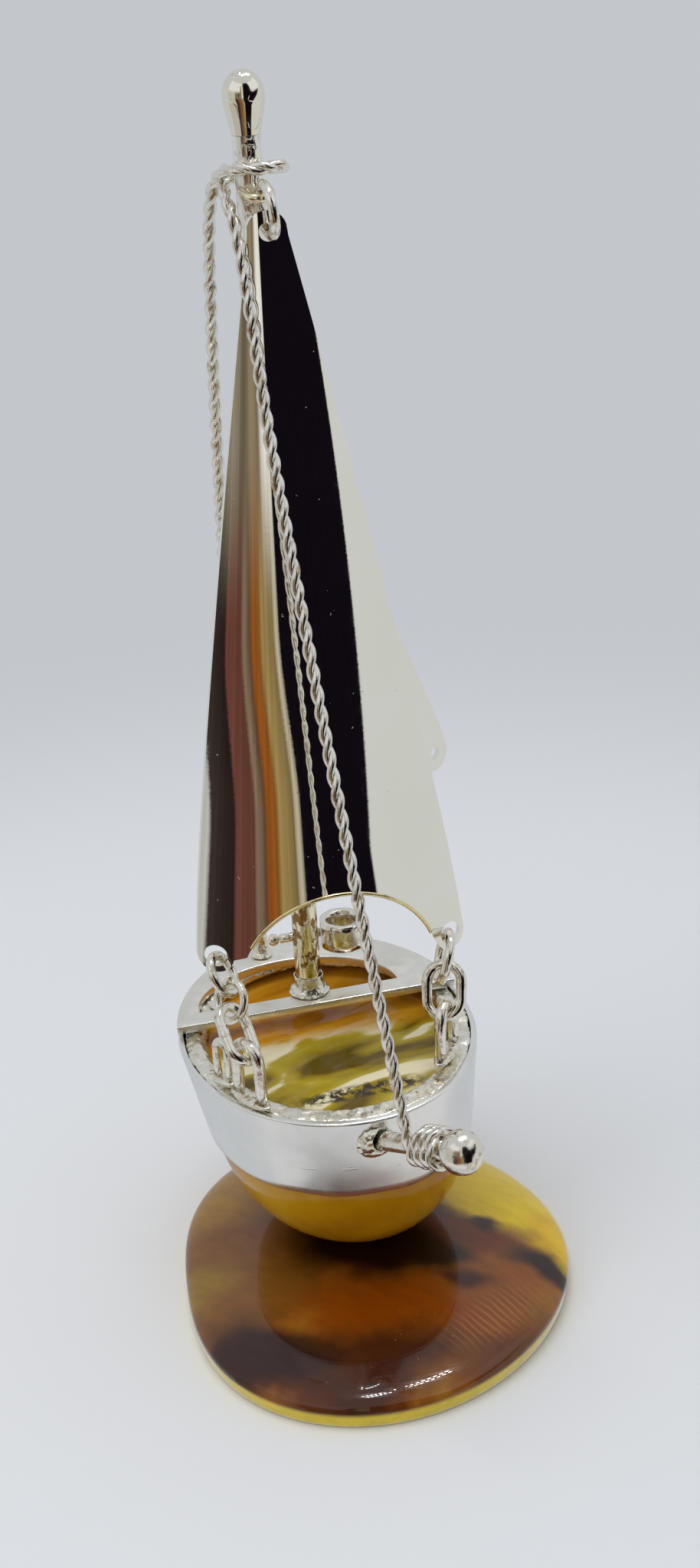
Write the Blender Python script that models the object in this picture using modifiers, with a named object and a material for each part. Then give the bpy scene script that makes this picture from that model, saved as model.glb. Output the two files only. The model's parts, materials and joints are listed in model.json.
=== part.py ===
"""Miniature sailing boat: an amber hull stone in a silver band on an amber foot, with mast, sails and rigging.

Units are millimetres times MM. The bow points to -Y, up is +Z, and the origin is under the middle of the foot.
"""

import math

import bmesh
import bpy
from mathutils import Vector

MM = 0.001
GAP = 0.05  # clearance between pieces that touch

# Foot: an amber cabochon with an uneven rounded outline
FOOT_RADIUS = 16.5
FOOT_HARMONICS = ((0.008, 0.0), (-0.088, 0.021), (0.030, -0.013))  # cosine and sine share of turns 1, 2, 3
FOOT_BASE_INSET = 0.35
FOOT_GIRDLE_Z = 1.4
FOOT_DOME = 2.45
PAD_RADIUS = 2.0
PAD_Z = (3.97, 4.27)

# Hull: an elliptical bowl, longer along Y
HULL_X, HULL_Y = -1.05, 4.8
HALF_LENGTH = 13.9
SQUASH_X = 11.35 / 13.9
HULL_LEAN = 0.075  # shift to starboard per unit of depth below the rim
BAND_TOP, BAND_BOTTOM = 20.3, 13.0
BAND_TAPER = 1.3
BAND_WALL = 0.5
STONE_TOP = 19.2
STONE_BOTTOM = 4.32
STONE_DEPTH = 8.95
STONE_FULLNESS = 0.74
RIM_Z = 19.45
RIM_INNER = 11.35

# Deck plate over the aft half, with a half-moon opening behind a crossbar
DECK_Z, DECK_THICK = 20.42, 0.68
CROSSBAR_Y = (7.3, 9.1)
HALF_MOON_X, HALF_MOON_A, HALF_MOON_B = -2.1, 7.95, 5.9
LUG_RADIUS = 1.5

# Mast and its fittings
MAST_X, MAST_Y, MAST_RADIUS = -1.2, 9.5, 1.0
MAST_Z = (21.15, 86.85)
FINIAL_TOP = 91.1
EYE_Z = 83.0

# Bowsprit, from the band to its ball
SPRIT_START = Vector((-0.75, -8.4, 18.3))
BALL_CENTRE = Vector((3.1, -17.9, 22.3))
SPRIT_RADIUS, BALL_RADIUS = 0.75, 1.55

# Stay: one wire from the stern post round the masthead to the bowsprit
STAY_RADIUS = 0.38
COIL_RADIUS, COIL_PITCH, COIL_TURNS, COIL_START = 1.2, 0.86, 3, 4.66

# After sail: a curved sheet on two hoops round the mast, swung out to starboard
AFT_TURN = 25.4  # degrees from starboard towards the stern
AFT_BELLY, AFT_THICK = 0.8, 0.5
AFT_LUFF, AFT_CLEW, AFT_CLEW_RADIUS = 1.3, (13.7, 37.2), 1.45
HOOP_RADIUS, HOOP_WIRE, HOOP_Z = 2.1, 0.33, (30.4, 62.2)

# Foresail: a curved sheet hung from the masthead
SAIL_X = -0.6
SAIL_THICK = 0.5
SAIL_TOP_Z, SAIL_TOP_Y, SAIL_RAKE = 82.0, 7.8, 0.107
SAIL_BELLY = 0.3
HEAD_EYE = (-0.75, 80.8)
HEAD_RADIUS, HEAD_HOLE = 1.4, 0.62
CLEW_PORT, CLEW_STARBOARD = (-9.6, 30.1), (8.1, 28.9)
CLEW_RADIUS, CLEW_HOLE = 1.22, 0.8
FOOT_ARCH = (-0.6, 26.7, 7.65, 7.55, -4.0)  # centre x, centre z, half-width, height, tilt in degrees

# Rings and links: centre, normal, radius, wire radius and stretch along the chain
HEAD_RING = (Vector((-0.771, 6.423, 82.29)), (0.995, 0.054, 0.081), 1.704, 0.34, 1.0)
PORT_LINE = (-0.110, 0.744, 0.659)
PORT_LOW_LINK = (Vector((-9.194, -2.768, 25.639)), (0.556, -0.493, 0.669), 1.25, 0.38, 1.75)
PORT_MID_RING = (Vector((-9.201, -1.199, 27.533)), (0.824, 0.418, -0.383), 1.45, 0.36, 1.0)
PORT_CLEW_RING = (Vector((-9.346, 0.500, 28.884)), (-0.783, 0.398, -0.478), 1.5, 0.34, 1.0)
STARBOARD_LINE = (0.272, 0.639, 0.719)
STARBOARD_LOW_LINK = (Vector((6.742, -1.641, 25.547)), (0.361, 0.800, -0.479), 1.3, 0.38, 1.5)
STARBOARD_CLEW_RING = (Vector((7.359, 0.189, 27.326)), (-0.945, 0.179, 0.275), 1.85, 0.34, 1.0)

# Staples on the rim: middle, direction of the span, span, height of the top and wire radius
STAPLE_FOOT_Z = 21.11
PORT_STAPLE = ((-8.8, -3.9), (1.2, -2.3), 2.6, 25.3, 0.45)
STARBOARD_STAPLE = ((6.55, -2.5), (1.7, 2.4), 2.8, 24.8, 0.45)
RIM_HOOK = ((-10.15, -0.8), (0.55, -1.0), 1.3, 24.0, 0.3)
BEAD_SIZE = (2.2, 0.75, 0.35)
HOOK_BEAD_SIZE = (1.25, 0.6, 0.35)

# Points on the joint axes of the hanging pieces
SAIL_PIVOT = Vector((-1.2, 7.1, 83.0))
PORT_STAPLE_TOP, STARBOARD_STAPLE_TOP = Vector((-8.8, -3.9, 25.3)), Vector((6.55, -2.5, 24.8))
PORT_LINK_CONTACT = Vector((-9.67, -1.061, 26.667))
PORT_CLEW_CENTRE, STARBOARD_CLEW_CENTRE = Vector((-9.6, 1.524, 30.1)), Vector((8.1, 1.143, 28.9))

PARTS = bpy.data.collections.new("amber_sailing_boat")
HELPERS = bpy.data.collections.new("cutters")


def clear_scene():
    for item in list(bpy.data.objects):
        bpy.data.objects.remove(item, do_unlink=True)
    scene = bpy.context.scene
    scene.collection.children.link(PARTS)
    scene.collection.children.link(HELPERS)


def material(name, colour, roughness, metallic):
    made = bpy.data.materials.new(name)
    made.use_nodes = True
    shader = made.node_tree.nodes["Principled BSDF"]
    shader.inputs["Base Color"].default_value = (*colour, 1)
    shader.inputs["Roughness"].default_value = roughness
    shader.inputs["Metallic"].default_value = metallic
    return made


def place(name, data, surface, helper=False):
    """An object in the parts collection, or among the cutters."""
    item = bpy.data.objects.new(name, data)
    (HELPERS if helper else PARTS).objects.link(item)
    if helper:
        item.hide_render = True
        item.display_type = "WIRE"
    else:
        data.materials.append(surface)
    return item


def shade_smooth(mesh, smooth=True):
    for face in mesh.polygons:
        face.use_smooth = smooth


def turned(name, profile, surface, steps=48, closed=False, helper=False):
    """A body turned about Z from an (r, z) profile, listed down its outer side."""
    mesh = bpy.data.meshes.new(name)
    count = len(profile)
    edges = [(i, i + 1) for i in range(count - 1)] + ([(count - 1, 0)] if closed else [])
    mesh.from_pydata([(r * MM, 0, z * MM) for r, z in profile], edges, [])
    item = place(name, mesh, surface, helper)
    screw = item.modifiers.new("turn", "SCREW")
    screw.steps = screw.render_steps = steps
    screw.use_merge_vertices = True
    screw.merge_threshold = 1e-6
    screw.use_smooth_shade = True
    return item


def bake(item):
    """The object with its modifiers, or a curve, made into a plain closed mesh."""
    bpy.context.view_layer.update()
    mesh = bpy.data.meshes.new_from_object(item.evaluated_get(bpy.context.evaluated_depsgraph_get()))
    shell = bmesh.new()
    shell.from_mesh(mesh)
    bmesh.ops.remove_doubles(shell, verts=shell.verts, dist=1e-7)
    bmesh.ops.recalc_face_normals(shell, faces=shell.faces)
    shell.to_mesh(mesh)
    shell.free()
    if item.type == "MESH":
        item.modifiers.clear()
        item.data = mesh
        return item
    name, helper, matrix = item.name, item.hide_render, item.matrix_world.copy()
    mesh.materials.clear()
    surface = None if helper else item.data.materials[0]
    bpy.data.objects.remove(item)
    baked = place(name, mesh, surface, helper)
    baked.matrix_world = matrix
    return baked


def cut(item, cutter, operation="DIFFERENCE"):
    step = item.modifiers.new(operation.lower(), "BOOLEAN")
    step.operation = operation
    step.solver = "EXACT"
    step.object = cutter
    return item


def at(item, x, y, z):
    item.location = (x * MM, y * MM, z * MM)
    return item


def pivot(name, point, *pieces, turn=0.0):
    """An empty on a joint axis that carries the pieces turning with it."""
    carrier = bpy.data.objects.new(name, None)
    HELPERS.objects.link(carrier)
    carrier.location = Vector(point) * MM
    carrier.rotation_euler.z = math.radians(turn)
    for piece in pieces:
        piece.parent = carrier
        piece.location = piece.location - carrier.location
    return carrier


def aim(item, start, direction):
    """Stands an object's Z axis along a direction, from a start point."""
    item.location = Vector(start) * MM
    item.rotation_euler = Vector(direction).to_track_quat("Z", "Y").to_euler()
    return item


def tube(name, points, radius, surface, closed=False, sides=2):
    curve = bpy.data.curves.new(name, "CURVE")
    curve.dimensions = "3D"
    curve.bevel_depth = radius * MM
    curve.bevel_resolution = sides
    curve.use_fill_caps = not closed
    spline = curve.splines.new("POLY")
    spline.points.add(len(points) - 1)
    for target, point in zip(spline.points, points):
        target.co = (*(Vector(point) * MM), 1)
    spline.use_cyclic_u = closed
    spline.use_smooth = True
    return place(name, curve, surface)


def ball(name, centre, radius, surface, scale=(1, 1, 1), segments=24):
    mesh = bpy.data.meshes.new(name)
    shell = bmesh.new()
    bmesh.ops.create_uvsphere(shell, u_segments=segments, v_segments=segments // 2, radius=radius * MM)
    bmesh.ops.scale(shell, verts=shell.verts, vec=scale)
    shell.to_mesh(mesh)
    shell.free()
    shade_smooth(mesh)
    return at(place(name, mesh, surface), *centre)


def rod_cutter(name, start, direction, radius, length):
    mesh = bpy.data.meshes.new(name)
    shell = bmesh.new()
    bmesh.ops.create_cone(
        shell, cap_ends=True, segments=32, radius1=radius * MM, radius2=radius * MM, depth=length * MM
    )
    shell.to_mesh(mesh)
    shell.free()
    return aim(place(name, mesh, None, helper=True), start, direction)


def arc(centre, radii, start, end, count, tilt=0.0):
    """Points on an elliptical arc, angles in degrees, in two dimensions."""
    points = []
    lean = math.radians(tilt)
    for i in range(count + 1):
        angle = math.radians(start + (end - start) * i / count)
        x, y = radii[0] * math.cos(angle), radii[1] * math.sin(angle)
        points.append(
            (
                centre[0] + x * math.cos(lean) - y * math.sin(lean),
                centre[1] + x * math.sin(lean) + y * math.cos(lean),
            )
        )
    return points


def bend(start, control, end, count):
    """Points on a quadratic curve between two ends."""
    points = []
    for i in range(count + 1):
        t = i / count
        points.append(
            tuple((1 - t) ** 2 * a + 2 * t * (1 - t) * b + t * t * c for a, b, c in zip(start, control, end))
        )
    return points


def smooth_path(points, steps):
    """A smooth curve through the points, with the given number of steps between each two."""
    points = [Vector(point) for point in points]
    ends = [points[0] * 2 - points[1], *points, points[-1] * 2 - points[-2]]
    path = []
    for i in range(1, len(ends) - 2):
        before, a, b, after = ends[i - 1 : i + 3]
        for k in range(steps):
            t = k / steps
            path.append(
                0.5
                * (
                    2 * a
                    + (b - before) * t
                    + (2 * before - 5 * a + 4 * b - after) * t * t
                    + (3 * a - before - 3 * b + after) * t**3
                )
            )
    return [*path, points[-1]]


def flat_plate(name, outlines, z, thick, surface):
    """A plate from closed outlines in XY, the first the outer edge and the rest openings."""
    curve = bpy.data.curves.new(name, "CURVE")
    curve.dimensions = "2D"
    curve.fill_mode = "BOTH"
    curve.extrude = thick / 2 * MM
    for outline in outlines:
        spline = curve.splines.new("POLY")
        spline.points.add(len(outline) - 1)
        for target, (x, y) in zip(spline.points, outline):
            target.co = (x * MM, y * MM, 0, 1)
        spline.use_cyclic_u = True
    return at(place(name, curve, surface, helper=surface is None), 0, 0, z + thick / 2)


def band_radius(z):
    """Outer half-length of the band at a height."""
    return HALF_LENGTH - (BAND_TOP - z) * BAND_TAPER / (BAND_TOP - BAND_BOTTOM)


def oval(item):
    """Bakes a turned hull piece, squashes it to the oval and leans it to starboard towards the keel."""
    bake(item)
    for vertex in item.data.vertices:
        vertex.co.x = vertex.co.x * SQUASH_X + HULL_LEAN * (BAND_TOP * MM - vertex.co.z)
    return at(item, HULL_X, HULL_Y, 0)


def foot_share(angle):
    return 1 + sum(
        a * math.cos(turn * angle) + b * math.sin(turn * angle)
        for turn, (a, b) in enumerate(FOOT_HARMONICS, start=1)
    )


def foot_stone(surface):
    dome = [
        (FOOT_RADIUS * math.sin(t), FOOT_GIRDLE_Z + FOOT_DOME * math.cos(t) ** 0.9)
        for t in (math.radians(90 * i / 14) for i in range(14))
    ]
    lower = [
        (FOOT_RADIUS, FOOT_GIRDLE_Z),
        (FOOT_RADIUS - 0.12, 0.8),
        (FOOT_RADIUS - 0.2, 0.2),
        (FOOT_RADIUS - FOOT_BASE_INSET, 0),
        (0, 0),
    ]
    stone = bake(turned("base_stone", dome + lower, surface, steps=96))
    for vertex in stone.data.vertices:
        share = foot_share(math.atan2(vertex.co.y, vertex.co.x))
        vertex.co.x *= share
        vertex.co.y *= share
    shade_smooth(stone.data)


def hull(silver, solder, honey, glue):
    wall = [
        (band_radius(BAND_TOP) - 0.12, BAND_TOP),
        (band_radius(BAND_TOP - 0.12), BAND_TOP - 0.12),
        (band_radius(BAND_BOTTOM + 0.12), BAND_BOTTOM + 0.12),
        (band_radius(BAND_BOTTOM) - 0.12, BAND_BOTTOM),
        (band_radius(BAND_BOTTOM) - BAND_WALL, BAND_BOTTOM),
        (band_radius(BAND_TOP) - BAND_WALL, BAND_TOP),
    ]
    band = oval(turned("hull_band", wall, silver, steps=72, closed=True))
    cut(band, bake(rod_cutter("sprit_hole", SPRIT_START, sprit_axis(), SPRIT_RADIUS + 0.12, 4)))

    slack = BAND_WALL + 0.12
    bowl = [(0, STONE_TOP + 0.25), (6, STONE_TOP + 0.18), (band_radius(STONE_TOP) - slack - 0.6, STONE_TOP)]
    bowl += [(band_radius(STONE_TOP - 0.5) - slack, STONE_TOP - 0.5)]
    waist = band_radius(BAND_BOTTOM) - slack
    lowest = math.asin((BAND_BOTTOM - STONE_BOTTOM) / STONE_DEPTH)
    for angle in (lowest * i / 12 for i in range(13)):
        bowl.append((waist * math.cos(angle) ** STONE_FULLNESS, BAND_BOTTOM - STONE_DEPTH * math.sin(angle)))
    bowl += [(0, STONE_BOTTOM)]
    oval(turned("hull_stone", bowl, honey, steps=64))

    edge = band_radius(RIM_Z) - BAND_WALL - GAP
    rim = [
        (edge + 0.1, BAND_TOP - 0.1),
        (edge, RIM_Z),
        (RIM_INNER, RIM_Z),
        (RIM_INNER + 0.1, BAND_TOP - 0.3),
        (RIM_INNER + 0.5, BAND_TOP),
    ]
    oval(turned("inner_rim", rim, solder, steps=64, closed=True))

    pad = [(0, PAD_Z[1]), (PAD_RADIUS, PAD_Z[1]), (PAD_RADIUS, PAD_Z[0]), (0, PAD_Z[0])]
    at(turned("glue_pad", pad, glue, steps=24), HULL_X + HULL_LEAN * (BAND_TOP - PAD_Z[1]), HULL_Y, 0)


def deck_plate(silver):
    half_width = HALF_LENGTH * SQUASH_X
    start = math.degrees(math.asin((CROSSBAR_Y[0] - HULL_Y) / HALF_LENGTH))
    outer = arc((HULL_X, HULL_Y), (half_width, HALF_LENGTH), start, 180 - start, 56)
    reach = math.degrees(math.asin((CROSSBAR_Y[1] - MAST_Y) / LUG_RADIUS))
    lug = arc((MAST_X, MAST_Y), (LUG_RADIUS, LUG_RADIUS), 180 - reach, reach, 12)
    moon = arc((HALF_MOON_X, CROSSBAR_Y[1]), (HALF_MOON_A, HALF_MOON_B), 0, 180, 36)
    bake(flat_plate("deck_plate", [outer, moon + lug], DECK_Z, DECK_THICK, silver))


def mast(silver, solder):
    bottom, top = MAST_Z
    rod = [(0, top), (MAST_RADIUS, top), (MAST_RADIUS, bottom), (0, bottom)]
    at(turned("mast", rod, silver, steps=28), MAST_X, MAST_Y, 0)
    knob = [(0, 0), (0.55, 0.1), (1.02, 0.45), (1.36, 0.95), (1.48, 1.6), (1.42, 2.3), (1.27, 3.0)]
    knob += [(1.12, 3.7), (1.03, FINIAL_TOP - top - GAP), (0, FINIAL_TOP - top - GAP)]
    profile = [(r, FINIAL_TOP - drop) for r, drop in knob]
    at(turned("mast_finial", profile, silver, steps=28), MAST_X, MAST_Y, 0)
    inner = MAST_RADIUS + GAP
    fillet = [(inner, bottom + 1.5), (inner + 0.1, bottom + 1.5), (inner + 0.16, bottom + 0.7)]
    fillet += [(inner + 0.45, bottom + 0.2), (inner + 0.62, bottom), (inner, bottom)]
    at(turned("mast_solder", fillet, solder, steps=28, closed=True), MAST_X, MAST_Y, 0)
    eye = [(-0.6, -1.3, 0.35), (-0.7, -2.1, 0.1), (0.0, -2.45, 0), (0.5, -2.4, 0), (1.0, -2.0, 0.1)]
    eye = smooth_path([*eye, (1.0, -1.3, 0.35)], 3)
    tube("mast_eye", [from_mast(x, y, EYE_Z + z) for x, y, z in eye], 0.33, silver)


def from_mast(x, y, z):
    return Vector((MAST_X + x, MAST_Y + y, z))


def sprit_axis():
    return (BALL_CENTRE - SPRIT_START).normalized()


def bowsprit(silver, solder):
    axis = sprit_axis()
    length = (BALL_CENTRE - SPRIT_START).length - BALL_RADIUS - GAP
    rod = [(0, length), (SPRIT_RADIUS, length), (SPRIT_RADIUS, 0), (0, 0)]
    aim(turned("bowsprit", rod, silver, steps=24), SPRIT_START, axis)
    ball("bowsprit_ball", BALL_CENTRE, BALL_RADIUS, silver, segments=28)

    mound = [(0, 0.9), (0.7, 0.85), (1.2, 0.6), (1.5, 0.1), (1.5, -0.8), (0, -0.8)]
    collar = turned("bowsprit_collar", mound, solder, steps=28)
    collar = bake(aim(collar, SPRIT_START + Vector((0, -0.15, 0)), (0.12, -0.96, -0.22)))
    slack = 0.03
    body = [
        (0, BAND_TOP + 3),
        (band_radius(BAND_TOP + 3) + slack, BAND_TOP + 3),
        (band_radius(BAND_BOTTOM - 2) + slack, BAND_BOTTOM - 2),
        (0, BAND_BOTTOM - 2),
    ]
    cut(collar, oval(turned("band_clearance", body, None, steps=72, helper=True)))
    cut(collar, bake(rod_cutter("sprit_clearance", SPRIT_START, axis, SPRIT_RADIUS + slack, 12)))


def stay(wire, solder):
    backstay = [(-2.3, 6.9, 23.15), (-2.8, 6.4, 36), (-3.0, 5.8, 52), (-2.85, 4.0, 70), (-2.6, 2.7, 79.6)]
    loop = [(-2.35, 1.75, 82.9), (-2.05, 0.95, 84.0), (-1.75, 0, 84.6), (-1.2, -1.15, 84.8), (-0.2, -1.75, 84.85)]
    loop += [(0.9, -1.95, 84.85), (1.9, -1.4, 84.75), (2.3, -0.4, 84.6), (2.0, 0.7, 84.45), (1.2, 1.4, 84.3)]
    loop += [(0, 1.6, 84.1), (-1.1, 1.3, 83.8), (-1.65, 0.5, 83.4), (-1.8, -0.5, 82.95), (-1.75, -1.4, 82.2)]
    axis = sprit_axis()
    forestay_top = from_mast(-1.65, -2.2, 81.2)
    arrival = (BALL_CENTRE - COIL_START * axis - forestay_top).normalized()
    side = axis.cross(arrival).normalized()
    if side.x > 0:
        side = -side
    coil = []
    for i in range(COIL_TURNS * 14 + 1):
        turn = i / 14
        angle = 2 * math.pi * turn
        centre = BALL_CENTRE - (COIL_START - COIL_PITCH * turn) * axis
        coil.append(centre + COIL_RADIUS * (math.cos(angle) * side + math.sin(angle) * arrival))
    forestay = [(-1.5, -4.2, 76.6), (-1.3, -7.2, 67.4), (-0.6, -13.0, 52), (0.25, -18.8, 37)]
    sweep = [from_mast(*point) for point in backstay] + [from_mast(*point) for point in loop]
    sweep += [forestay_top] + [from_mast(*point) for point in forestay] + [coil[0] - 2.5 * arrival]
    tube("stay_wire", smooth_path(sweep, 3)[:-1] + [coil[0] - 1.2 * arrival] + coil, STAY_RADIUS, wire)

    flare = [(0, 23.05), (0.45, 23.0), (0.5, 22.3), (0.62, 21.6), (0.95, 21.16), (0, 21.16)]
    at(turned("stern_post", flare, solder, steps=20), *from_mast(-2.3, 6.9, 0))


def mast_pin(silver):
    """A knobbed pin across the after side of the mast, with a short strap loop at its other end."""
    pin_y, pin_z = MAST_RADIUS + GAP + 0.4, 25.3
    ends = [from_mast(-1.75, pin_y, pin_z), from_mast(1.45, pin_y, pin_z)]
    tube("mast_pin", ends, 0.38, silver)
    ball("mast_pin_knob", from_mast(-2.3, pin_y, pin_z), 0.5, silver, segments=16)
    strap = [(1.75, 1.1), (1.75, -1.1), (1.3, -1.1), (1.3, 1.1)]
    at(turned("strap_loop", strap, silver, steps=32, closed=True), *from_mast(3.28, pin_y, 25.1))


def staple(name, spec, silver):
    """An upturned U of wire standing on the rim."""
    middle, along, span, top, radius = spec
    along = Vector((*along, 0)).normalized()
    middle = Vector((*middle, 0))
    path = [middle - along * span / 2 + Vector((0, 0, STAPLE_FOOT_Z))]
    for i in range(13):
        angle = math.pi * (1 - i / 12)
        path.append(
            middle + along * span / 2 * math.cos(angle) + Vector((0, 0, top - span / 2 * (1 - math.sin(angle))))
        )
    path.append(middle + along * span / 2 + Vector((0, 0, STAPLE_FOOT_Z)))
    tube(name, path, radius, silver)


def solder_bead(name, spec, size, surface):
    middle, along = spec[:2]
    bead = ball(name, (*middle, BAND_TOP + size[2] + 0.08), 1, surface, scale=size, segments=20)
    bead.rotation_euler.z = math.atan2(along[1], along[0])


def ring(name, spec, surface, along=(0, 0, 1)):
    """A closed wire ring, stretched in its own plane to a link when asked."""
    centre, normal, radius, wire, stretch = spec
    normal = Vector(normal).normalized()
    long_axis = (Vector(along) - Vector(along).dot(normal) * normal).normalized()
    short_axis = normal.cross(long_axis)
    straight = radius * (stretch - 1)
    path = []
    for i in range(32):
        angle = 2 * math.pi * (i + 0.5) / 32
        shift = math.copysign(straight, math.cos(angle))
        path.append(long_axis * (radius * math.cos(angle) + shift) + short_axis * radius * math.sin(angle))
    return at(tube(name, path, wire, surface, closed=True), *centre)


def sheet(name, columns, rows, shape, thick, surface):
    """A curved sheet: shape maps (u, v), each from -1 to 1, to a point."""
    mesh = bpy.data.meshes.new(name)
    grid = bmesh.new()
    bmesh.ops.create_grid(grid, x_segments=columns, y_segments=rows, size=1)
    for vertex in grid.verts:
        vertex.co = Vector(shape(vertex.co.x, vertex.co.y)) * MM
    grid.to_mesh(mesh)
    grid.free()
    shade_smooth(mesh)
    item = place(name, mesh, surface)
    shell = item.modifiers.new("thickness", "SOLIDIFY")
    shell.thickness = thick * MM
    shell.offset = 0
    return item


def trim(item, outline, holes, centre_y, depth):
    """Keeps the part of a sheet inside an XZ outline, less its round holes."""
    plate = bake(flat_plate(item.name + "_outline", [outline], 0, depth, None))
    plate.location = (0, centre_y * MM, 0)
    plate.rotation_euler = (math.pi / 2, 0, 0)
    cut(item, plate, "INTERSECT")
    for number, (x, z, radius) in enumerate(holes):
        cut(item, rod_cutter(f"{item.name}_hole_{number}", (x, centre_y, z), (0, 1, 0), radius, depth))


def sail_half_width(z):
    return 1.9 + 0.16 * (SAIL_TOP_Z + 0.5 - z)


def sail_point(u, v):
    z = 54.5 + 30 * v
    half = sail_half_width(z)
    side = 1.1 * u
    y = SAIL_TOP_Y - (SAIL_TOP_Z - z) * SAIL_RAKE - SAIL_BELLY * half * (1 - side * side)
    return SAIL_X + side * half, y, z


def foresail(silver):
    outline = arc(HEAD_EYE, (HEAD_RADIUS, HEAD_RADIUS), 15, 165, 12)
    left = bend((HEAD_EYE[0] - 1.42, 80.4), (SAIL_X - 9.3, 40), (CLEW_PORT[0] - CLEW_RADIUS, CLEW_PORT[1]), 22)
    outline += left[:-1]
    outline += arc(CLEW_PORT, (CLEW_RADIUS, CLEW_RADIUS), 180, 345, 12)
    x, z, half, height, tilt = FOOT_ARCH
    outline += arc((x, z), (half, height), 158, 20, 30, tilt)
    corner_x, corner_z = CLEW_STARBOARD
    outline += arc(CLEW_STARBOARD, (CLEW_RADIUS, CLEW_RADIUS), 195, 360, 12)
    leech = ((corner_x + CLEW_RADIUS, corner_z), (SAIL_X + 9.3, 40), (HEAD_EYE[0] + 1.42, 80.4))
    right = bend(*leech, 22)
    outline += right[1:]
    item = sheet("foresail", 18, 22, sail_point, SAIL_THICK, silver)
    holes = [(*HEAD_EYE, HEAD_HOLE), (*CLEW_PORT, CLEW_HOLE), (*CLEW_STARBOARD, CLEW_HOLE)]
    trim(item, outline, holes, 0, 60)
    pivot("foresail_pivot", SAIL_PIVOT, item)


def aft_point(u, v):
    x = 8.2 + 7.6 * u
    return x, -AFT_BELLY * (1 - ((x - 7.5) / 7.5) ** 2), 47 + 19 * v


def aft_sail(silver):
    low, high = HOOP_Z
    outline = arc((AFT_LUFF + 1.2, high + 0.3), (1.2, 1.2), 180, 20, 10)
    outline += bend((AFT_LUFF + 2.42, high - 0.2), (9.6, 50), (AFT_CLEW[0] + 1.2, AFT_CLEW[1] + 1.1), 12)[:-1]
    outline += arc(AFT_CLEW, (AFT_CLEW_RADIUS, AFT_CLEW_RADIUS), 35, -110, 12)
    outline += bend((AFT_CLEW[0] - 1.0, AFT_CLEW[1] - 1.2), (8, 36.5), (AFT_LUFF + 2.4, low + 0.4), 12)[1:-1]
    outline += arc((AFT_LUFF + 1.2, low), (1.2, 1.2), 0, -180, 10)
    sail = sheet("aft_sail", 12, 14, aft_point, AFT_THICK, silver)
    holes = [(HOOP_RADIUS, low, 0.55), (HOOP_RADIUS, high, 0.55), (*AFT_CLEW, 0.5)]
    trim(sail, outline, holes, 0, 10)
    carrier = pivot("aft_sail_pivot", from_mast(0, 0, 0), turn=AFT_TURN)
    bake(sail).parent = carrier
    for name, z in zip(("mast_hoop_low", "mast_hoop_high"), HOOP_Z):
        hoop = (Vector((0, 0, z)), (0, 0, 1), HOOP_RADIUS, HOOP_WIRE, 1.0)
        ring(name, hoop, silver, along=(1, 0, 0)).parent = carrier


def rigging(silver, solder):
    """The head ring, and the two short chains from the foresail's lower corners to staples on the rim."""
    pivot("head_ring_pivot", SAIL_PIVOT, ring("head_ring", HEAD_RING, silver))
    for side, spec in (("port", PORT_STAPLE), ("starboard", STARBOARD_STAPLE)):
        staple(f"staple_{side}", spec, silver)
        solder_bead(f"staple_solder_{side}", spec, BEAD_SIZE, solder)
    staple("rim_hook", RIM_HOOK, silver)
    solder_bead("rim_hook_solder", RIM_HOOK, HOOK_BEAD_SIZE, solder)

    low_link = ring("port_low_link", PORT_LOW_LINK, silver, along=PORT_LINE)
    pivot("port_low_link_pivot", PORT_STAPLE_TOP, low_link)
    mid_ring = ring("port_mid_ring", PORT_MID_RING, silver, along=PORT_LINE)
    pivot("port_mid_ring_pivot", PORT_LINK_CONTACT, mid_ring)
    clew_ring = ring("port_clew_ring", PORT_CLEW_RING, silver, along=PORT_LINE)
    pivot("port_clew_ring_pivot", PORT_CLEW_CENTRE, clew_ring)
    low_link = ring("starboard_low_link", STARBOARD_LOW_LINK, silver, along=STARBOARD_LINE)
    pivot("starboard_low_link_pivot", STARBOARD_STAPLE_TOP, low_link)
    clew_ring = ring("starboard_clew_ring", STARBOARD_CLEW_RING, silver, along=STARBOARD_LINE)
    pivot("starboard_clew_ring_pivot", STARBOARD_CLEW_CENTRE, clew_ring)


def main():
    clear_scene()
    cognac = material("amber_cognac", (0.30, 0.09, 0.01), 0.08, 0)
    honey = material("amber_honey", (0.80, 0.42, 0.05), 0.15, 0)
    silver = material("silver_polished", (0.88, 0.87, 0.84), 0.12, 1)
    satin = material("silver_satin", (0.82, 0.81, 0.77), 0.3, 1)
    solder = material("silver_solder", (0.75, 0.73, 0.66), 0.4, 1)
    wire = material("silver_twist", (0.85, 0.84, 0.80), 0.22, 1)
    glue = material("clear_glue", (0.85, 0.8, 0.6), 0.3, 0)

    foot_stone(cognac)
    hull(satin, solder, honey, glue)
    deck_plate(satin)
    mast(silver, solder)
    bowsprit(silver, solder)
    stay(wire, solder)
    mast_pin(silver)
    foresail(silver)
    aft_sail(silver)
    rigging(silver, solder)


main()
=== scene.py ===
"""Looks for the amber and silver sailing boat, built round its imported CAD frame.

Lengths are in millimetres, and turn into Blender's metres where they are multiplied by MM.
"""

import json
import math

import bmesh
import bpy
from mathutils import Matrix, Vector, noise

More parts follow.
